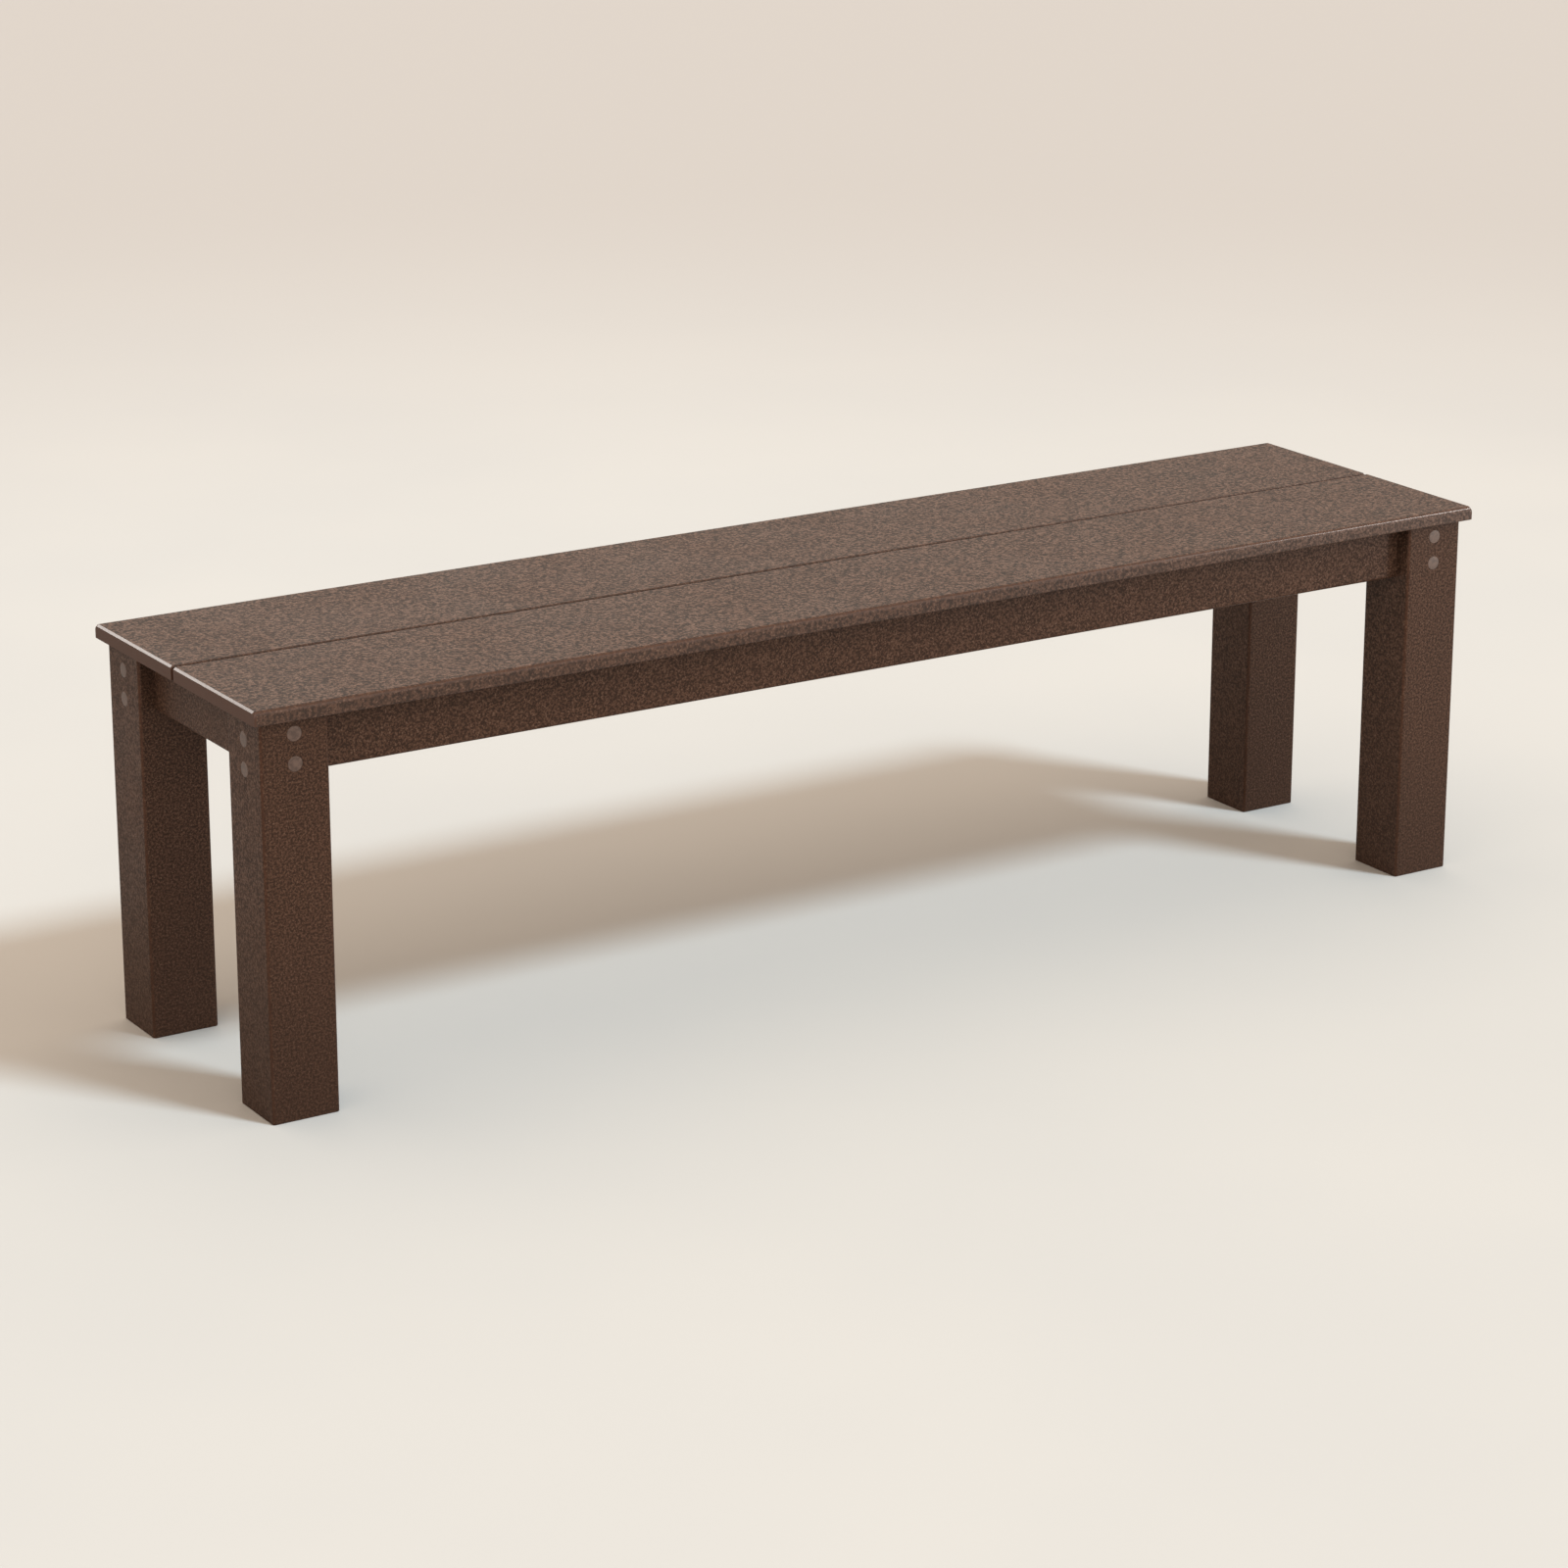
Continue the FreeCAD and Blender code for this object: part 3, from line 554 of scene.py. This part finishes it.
def shade_rounds(piece, sharp_over=math.radians(35)):
    """Smooth shading with flat broad faces; corners sharper than the angle stay crisp."""
    piece.data.shade_smooth()
    piece.data.set_sharp_from_angle(angle=sharp_over)
    even = piece.modifiers.new("even_normals", "WEIGHTED_NORMAL")
    even.keep_sharp = True


# %% From node to finished bar
def lumber(node, axis, radii, ease, top_bevel=0, holes=(), skin=None):
    """Build the bar that stands for one CAD node, in the node's own box."""
    low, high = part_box(node)
    mesh = bar_mesh(node, low, high, axis, radii, ease, top_bevel)
    for material in (skin or skins[axis], sawn, planed_rim):
        mesh.materials.append(material)
    piece = bpy.data.objects.new(f"{node}_lumber", mesh)
    bpy.context.scene.collection.objects.link(piece)
    if holes:
        bore(piece, holes)
    mark_rubbed_and_shaded_edges(piece.data, low, high, max(radii))
    shade_rounds(piece)
    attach(piece, "root")
    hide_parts(node)
    print(f"{piece.name}: {len(piece.data.vertices)} points, {len(holes)} holes")
    return piece


# %% [markdown]
# ## The two seat slats
# Each slat is a plank whose long edges are rounded over: most on the outer top edge, where
# legs and hands meet it, and barely at the gap and underneath. A Bevel modifier gives every
# edge the same round, so the outline takes a radius for each corner. The sawn ends are planed
# off along the top edge only: that flat bevel is smooth and catches the light as a bright
# line, while the upright corners stay crisp.

# %% Seat slats
SLAT_TOP_ROUND = 5.0 * MM
SLAT_GAP_ROUND = 1.6 * MM
SLAT_BOTTOM_ROUND = 1.2 * MM
SLAT_END_BEVEL = 2.2 * MM
SAWN_EASE = 0.3 * MM

top_rounds = {
    "front": (SLAT_GAP_ROUND, SLAT_TOP_ROUND),
    "rear": (SLAT_TOP_ROUND, SLAT_GAP_ROUND),
}
slats = []
for side, tops in top_rounds.items():
    radii = (SLAT_BOTTOM_ROUND, *tops, SLAT_BOTTOM_ROUND)
    slat = lumber(f"seat_slat_{side}", ALONG_X, radii, SAWN_EASE, SLAT_END_BEVEL, skin=seat_skin)
    slats.append(slat)


# %% [markdown]
# ## Legs, bored for their screws
# A leg is a square post. Two lag screws enter through its outer long face and two through
# its end face, each at the bottom of a counterbore that the cap closes. The hollows could be
# drawn into the post's faces, but boring the finished post is simpler, and it is what the
# workshop does. The counterbore is a hair wider than the cap, so a fine shadow ring shows
# only when one looks closely.

# %% Legs
LEG_CORNER_ROUND = 3.5 * MM
LEG_END_BEVEL = 0.8 * MM
CAP_CLEARANCE = 0.1 * MM
COUNTERBORE_DEPTH = 15.0 * MM
DRILL_OVERRUN = 2.0 * MM


def outward_axis(low, high, leg_middle):
    """The axis a cap faces along, and the sign of that direction."""
    size, middle = high - low, (high + low) / 2
    axis = ALONG_X if size.x < size.y else ALONG_Y
    return axis, math.copysign(1, middle[axis] - leg_middle[axis])


def counterbores(corner):
    """The four screw seats of one leg, worked out from its caps and its faces."""
    low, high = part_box(f"leg_{corner}")
    leg_middle = (low + high) / 2
    holes = []
    for cap_low, cap_high in solids_of(f"plug_caps_{corner}"):
        axis, sign = outward_axis(cap_low, cap_high, leg_middle)
        middle = (cap_low + cap_high) / 2
        radius = (cap_high.z - cap_low.z) / 2 + CAP_CLEARANCE
        face = high[axis] if sign > 0 else low[axis]
        start, end = middle.copy(), middle.copy()
        start[axis] = face + sign * DRILL_OVERRUN
        end[axis] = face - sign * COUNTERBORE_DEPTH
        holes.append((start, end, radius))
    return holes


CORNERS = [f"{y_side}_{x_side}" for y_side in ("front", "rear") for x_side in ("left", "right")]
for corner in CORNERS:
    radii = (LEG_CORNER_ROUND,) * 4
    lumber(f"leg_{corner}", ALONG_Z, radii, LEG_END_BEVEL, holes=counterbores(corner))


# %% [markdown]
# ## Aprons and cross supports
# The rails are bars with gently rounded long edges, so the function that made the posts makes
# them too. The end aprons and the cross supports carry the slat screws from below, so each
# has round pockets in its underside in which the screw heads sit. A pocket is bored up to the
# level at which the head bears, which is worked out from the screw itself.

# %% Rails
APRON_EDGE_ROUND = 3.0 * MM
HEAD_CLEARANCE = 0.4 * MM
SLAT_SCREW_HEAD_HEIGHT = 3.2 * MM


def screw_pockets(node, screws):
    """Pockets in a bar's underside for a row of slat screws."""
    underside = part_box(node)[0].z
    holes = []
    for low, high in solids_of(screws):
        middle = (low + high) / 2
        radius = (high.x - low.x) / 2 + HEAD_CLEARANCE
        start = Vector((middle.x, middle.y, underside - DRILL_OVERRUN))
        end = Vector((middle.x, middle.y, low.z + SLAT_SCREW_HEAD_HEIGHT))
        holes.append((start, end, radius))
    return holes


rail_radii = (APRON_EDGE_ROUND,) * 4
for side in ("front", "rear"):
    lumber(f"apron_{side}", ALONG_X, rail_radii, SAWN_EASE)
for side in ("left", "right"):
    pockets = screw_pockets(f"apron_{side}", f"slat_screws_end_{side}")
    lumber(f"apron_{side}", ALONG_Y, rail_radii, SAWN_EASE, holes=pockets)
for place in ("left", "middle", "right"):
    pockets = screw_pockets(f"cross_support_{place}", f"slat_screws_{place}")
    lumber(f"cross_support_{place}", ALONG_Y, rail_radii, SAWN_EASE, holes=pockets)


# %% [markdown]
# ## Plug caps
# A cap is a round moulding: a faintly domed face, a rounded rim and a straight skirt. A
# bevelled cylinder would have a flat face, so a short profile is spun about the cap's middle
# line instead, and the rim gets its own arc so that it catches light.

# %% A turned cap
CAP_DOME = 0.15 * MM
CAP_RIM_ROUND = 0.9 * MM
CAP_SIDES = 64
RIM_STEPS = 5


def cap_profile(radius, face, back):
    """(distance from the axis, height) from the centre of the face to the skirt's end."""
    flat = radius - CAP_RIM_ROUND
    dome = [(flat * share, face - CAP_DOME * share ** 2) for share in (0.35, 0.7, 1.0)]
    rim = []
    for step in range(1, RIM_STEPS + 1):
        angle = math.pi / 2 * step / RIM_STEPS
        drop = (CAP_RIM_ROUND - CAP_DOME) * (1 - math.cos(angle))
        rim.append((flat + CAP_RIM_ROUND * math.sin(angle), face - CAP_DOME - drop))
    return dome + rim + [(radius, back)]


def spin_cap(shape, middle, axis, sign, profile):
    """Turn the profile about a line through middle, facing along sign on that axis."""
    facing = Vector([sign if k == axis else 0 for k in range(3)])
    turn = facing.to_track_quat("Z", "Y").to_matrix()
    rings = []
    for radius, height in profile:
        ring = []
        for k in range(CAP_SIDES):
            angle = math.tau * k / CAP_SIDES
            point = Vector((radius * math.cos(angle), radius * math.sin(angle), height))
            ring.append(shape.verts.new(middle + turn @ point))
        rings.append(ring)
    for inner, outer in zip(rings, rings[1:]):
        for k in range(CAP_SIDES):
            j = (k + 1) % CAP_SIDES
            shape.faces.new((inner[k], outer[k], outer[j], inner[j]))
    shape.faces.new(rings[0])
    shape.faces.new(list(reversed(rings[-1])))


# %% All sixteen caps, four to a leg
for corner in CORNERS:
    leg_low, leg_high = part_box(f"leg_{corner}")
    shape = bmesh.new()
    for cap_low, cap_high in solids_of(f"plug_caps_{corner}"):
        axis, sign = outward_axis(cap_low, cap_high, (leg_low + leg_high) / 2)
        radius = (cap_high.z - cap_low.z) / 2
        half = (cap_high[axis] - cap_low[axis]) / 2
        spin_cap(shape, (cap_low + cap_high) / 2, axis, sign, cap_profile(radius, half, -half))
    bmesh.ops.recalc_face_normals(shape, faces=shape.faces)
    mesh = bpy.data.meshes.new(f"plug_caps_{corner}_moulded")
    shape.to_mesh(mesh)
    shape.free()
    mesh.materials.append(cap_plastic)
    caps = bpy.data.objects.new(mesh.name, mesh)
    bpy.context.scene.collection.objects.link(caps)
    shade_rounds(caps)
    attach(caps, "root")
    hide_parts(f"plug_caps_{corner}")
print("caps on", len(CORNERS), "legs")


# %% [markdown]
# ## Screws, washers and brackets
# The CAD shapes of the hardware are already right, down to the sockets in the lag screws'
# heads, and building them again would add nothing. So those nodes stay as they are and only
# take the steel finish.

# %% Steel on the carried-over nodes
STEEL_NAMES = ("lag_screws", "washers", "slat_screws", "bracket")
for name, node in nodes.items():
    if name.startswith(STEEL_NAMES):
        node.data.materials.clear()
        node.data.materials.append(steel)
print("steel nodes:", sum(name.startswith(STEEL_NAMES) for name in nodes))


# %% [markdown]
# ## Floor
# A plain pale floor lets the bench's own colours read. It is one wide sheet with a trace of
# cloudiness, so that the soft shadow lies on something that feels like a real surface. A
# curved backdrop would hide the horizon too, but the camera looks down and never sees it. The
# tone deepens a little with distance from the bench, as it would further from the lamps.

# %% Pale floor
FLOOR_HALF = 60.0
FLOOR_PALE = (0.452, 0.436, 0.406, 1)
FLOOR_WARM = (0.472, 0.452, 0.416, 1)
FLOOR_FAR = (0.395, 0.360, 0.325, 1)
FADE_START, FADE_END = 1.5, 5.0


def floor_finish():
    """Pale plaster, faintly clouded and deeper far away."""
    finish = new_finish("pale_floor")
    place = finish.node("ShaderNodeTexCoord", None, None, "Object")
    cloud = finish.noise(place, per_metre=1.1, detail=3.0)
    colour = finish.mix(finish.fade(cloud, 0.3, 0.7), FLOOR_PALE, FLOOR_WARM)
    distance = finish.node("ShaderNodeVectorMath", {"operation": "LENGTH"}, {0: place}, "Value")
    colour = finish.mix(finish.fade(distance, FADE_START, FADE_END), colour, FLOOR_FAR)
    roughness = 0.85 + (cloud - 0.5) * 0.05
    return principled(finish, colour, roughness, finish.bump(cloud * MM), specular=0.2)


floor_mesh = bpy.data.meshes.new("floor")
quarters = ((-1, -1), (1, -1), (1, 1), (-1, 1))
floor_corners = [(x * FLOOR_HALF, y * FLOOR_HALF, 0) for x, y in quarters]
floor_mesh.from_pydata(floor_corners, [], [(0, 1, 2, 3)])
floor_mesh.materials.append(floor_finish())
floor = bpy.data.objects.new("floor", floor_mesh)
bpy.context.scene.collection.objects.link(floor)
print("floor:", 2 * FLOOR_HALF, "m wide")


# %% [markdown]
# ## Light
# One lamp can't both draw a clear soft shadow on a pale floor and model dark plastic gently.
# Stage crews shade and fill each thing by itself, and Blender's light linking does the same:
# each light names the pieces that it reaches. A cool sun, eleven degrees wide, reaches only
# the floor and draws the shadow. Two wider suns reach everything but the floor and shape the
# legs and aprons.

# %% Which pieces a light reaches
def only(name, pieces, state="INCLUDE"):
    """A list of pieces for a light: the only ones it reaches, or the ones it leaves out."""
    listed = bpy.data.collections.new(name)
    for piece in pieces:
        listed.objects.link(piece)
    for entry in listed.collection_objects:
        entry.light_linking.link_state = state
    return listed


only_floor = only("only_floor", [floor])
all_but_floor = only("all_but_floor", [floor], "EXCLUDE")
only_slats = only("only_slats", slats)
print("light lists:", only_floor.name, all_but_floor.name, only_slats.name)


# %% Broad lights
COOL_SUN = (0.64, 0.80, 0.93)
WARM_CLOTH = (1.0, 0.97, 0.92)


def broad_light(name, towards, width, strength, colour, reaches):
    """A light from far away, width degrees across as seen from the bench."""
    data = bpy.data.lights.new(name, "SUN")
    data.energy = strength
    data.angle = math.radians(width)
    data.color = colour
    light = bpy.data.objects.new(name, data)
    light.rotation_mode = "QUATERNION"
    light.rotation_quaternion = Vector(towards).to_track_quat("Z", "Y")
    light.light_linking.receiver_collection = reaches
    bpy.context.scene.collection.objects.link(light)
    print(f"{name}: strength {strength}, {width} degrees wide, {reaches.name}")


broad_light("shadow_maker", towards=(0.350, -0.564, 0.747), width=11, strength=3.8,
            colour=COOL_SUN, reaches=only_floor)
broad_light("front_softbox", towards=(0.06, -0.93, 0.36), width=90, strength=1.95,
            colour=WARM_CLOTH, reaches=all_but_floor)
broad_light("low_left_softbox", towards=(-0.97, -0.15, 0.16), width=25, strength=0.7,
            colour=WARM_CLOTH, reaches=all_but_floor)


# %% [markdown]
# ## Panels for the gleams
# A worn edge shows by its gleam, and a gleam needs a small bright lamp where the edge mirrors
# it. One panel at the rear left lights the planed bevel of the seat's left end. One at the
# right front stands low, its top level with the seat, so it lifts the right legs and aprons
# and hardly touches the seat. The last is high at the right front, and the round of the front
# edge mirrors it as a thin line. A panel a little above the seat would draw that line too, but
# the whole seat would mirror it, and turn white when it is seen from the rear left.

# %% Soft panels
WARM_PANEL = (1.0, 0.97, 0.93)


def panel(name, aim, towards, distance, side, power, reaches):
    """A square area light that faces the point aim from a direction, unseen by the camera."""
    data = bpy.data.lights.new(name, "AREA")
    data.shape = "SQUARE"
    data.size = side
    data.energy = power
    data.color = WARM_PANEL
    light = bpy.data.objects.new(name, data)
    light.location = aim + towards.normalized() * distance
    light.rotation_mode = "QUATERNION"
    light.rotation_quaternion = towards.to_track_quat("Z", "Y")
    light.visible_camera = False
    light.light_linking.receiver_collection = reaches
    bpy.context.scene.collection.objects.link(light)
    print(f"{name}: {power} W from {distance} m, {side} m square, {reaches.name}")


left_end = Vector((bench_low.x, 0, bench_high.z))
right_front = Vector((bench_high.x, bench_low.y, bench_high.z))
panel("rear_left_panel", left_end, towards=Vector((-0.27, 0.88, 0.39)),
      distance=3.0, side=0.5, power=6.2, reaches=only_slats)
panel("right_front_panel", right_front, towards=Vector((0.64, -0.73, -0.07)),
      distance=3.0, side=0.5, power=30.0, reaches=all_but_floor)
panel("edge_glint_panel", right_front, towards=Vector((0.64, -0.41, 0.65)),
      distance=2.8, side=0.35, power=30.0, reaches=only_slats)


# %% [markdown]
# ## Bright surroundings
# Satin plastic shows its surroundings as much as its lamps: seen at a low angle, the seat is
# mostly a blurred mirror of what stands behind it. A ready-made sky could be wrapped round
# the scene, but plain colours blended by direction are easier to steer: a pale wall behind
# the bench, a dimmer open side in front, a gap at the wall's right end and a bright ceiling.

# %% Surroundings
PALE_WALL = (1.35, 1.150, 1.00, 1)
OPEN_SIDE = (0.75, 0.64, 0.55, 1)
OVERHEAD = (1.38, 1.180, 1.01, 1)
WALL_SIDE = Vector((0.53, 0.85, 0))
OPEN_CORNER = Vector((0.866, 0.5, 0))

world = bpy.data.worlds.new("surroundings")
bpy.context.scene.world = world
sky = NodeSheet(world)
direction = sky.node("ShaderNodeTexCoord", None, None, "Generated")


def squarely(side):
    """How squarely a direction looks to one side, from -1 to 1."""
    sockets = {0: direction, 1: side}
    return sky.node("ShaderNodeVectorMath", {"operation": "DOT_PRODUCT"}, sockets, "Value")


around = sky.mix(sky.fade(squarely(WALL_SIDE), -0.3, 0.7), OPEN_SIDE, PALE_WALL)
around = sky.mix(sky.fade(squarely(OPEN_CORNER), 0.80, 0.97), around, OPEN_SIDE)
glow = sky.mix(sky.fade(sky.upright(direction), 0.15, 0.8), around, OVERHEAD)
background = sky.node("ShaderNodeBackground", None, {"Color": glow, "Strength": 1.0})
sky.node("ShaderNodeOutputWorld", None, {"Surface": background})
bpy.context.scene.view_settings.view_transform = "Standard"
print("surroundings:", len(sky.tree.nodes), "nodes")


# %% [markdown]
# ## Camera
# The bench is seen from the front left at a standing person's eye height. A short lens close
# by would frame it too, but it would swell the near leg, so a long lens stands well back. The
# horizon stays above the picture, and the floor fills it from edge to edge.

# %% Camera
CAMERA_PLACE = Vector((-2.5714, -4.0233, 1.7094))
CAMERA_HEADING = -32.137
CAMERA_TILT = -16.898
CAMERA_LENS = 101.756
CAMERA_SHIFT = -0.0398
SENSOR_WIDTH = 36
FAR_CLIP = 200

camera = bpy.data.objects.new("camera", bpy.data.cameras.new("camera"))
camera.location = CAMERA_PLACE
camera.rotation_euler = (math.radians(90 + CAMERA_TILT), 0, math.radians(CAMERA_HEADING))
camera.data.sensor_width = SENSOR_WIDTH
camera.data.lens = CAMERA_LENS
camera.data.shift_y = CAMERA_SHIFT
camera.data.clip_end = FAR_CLIP
bpy.context.scene.collection.objects.link(camera)
bpy.context.scene.camera = camera
print("camera:", round(camera.location.length, 2), "m from the bench, lens", CAMERA_LENS, "mm")
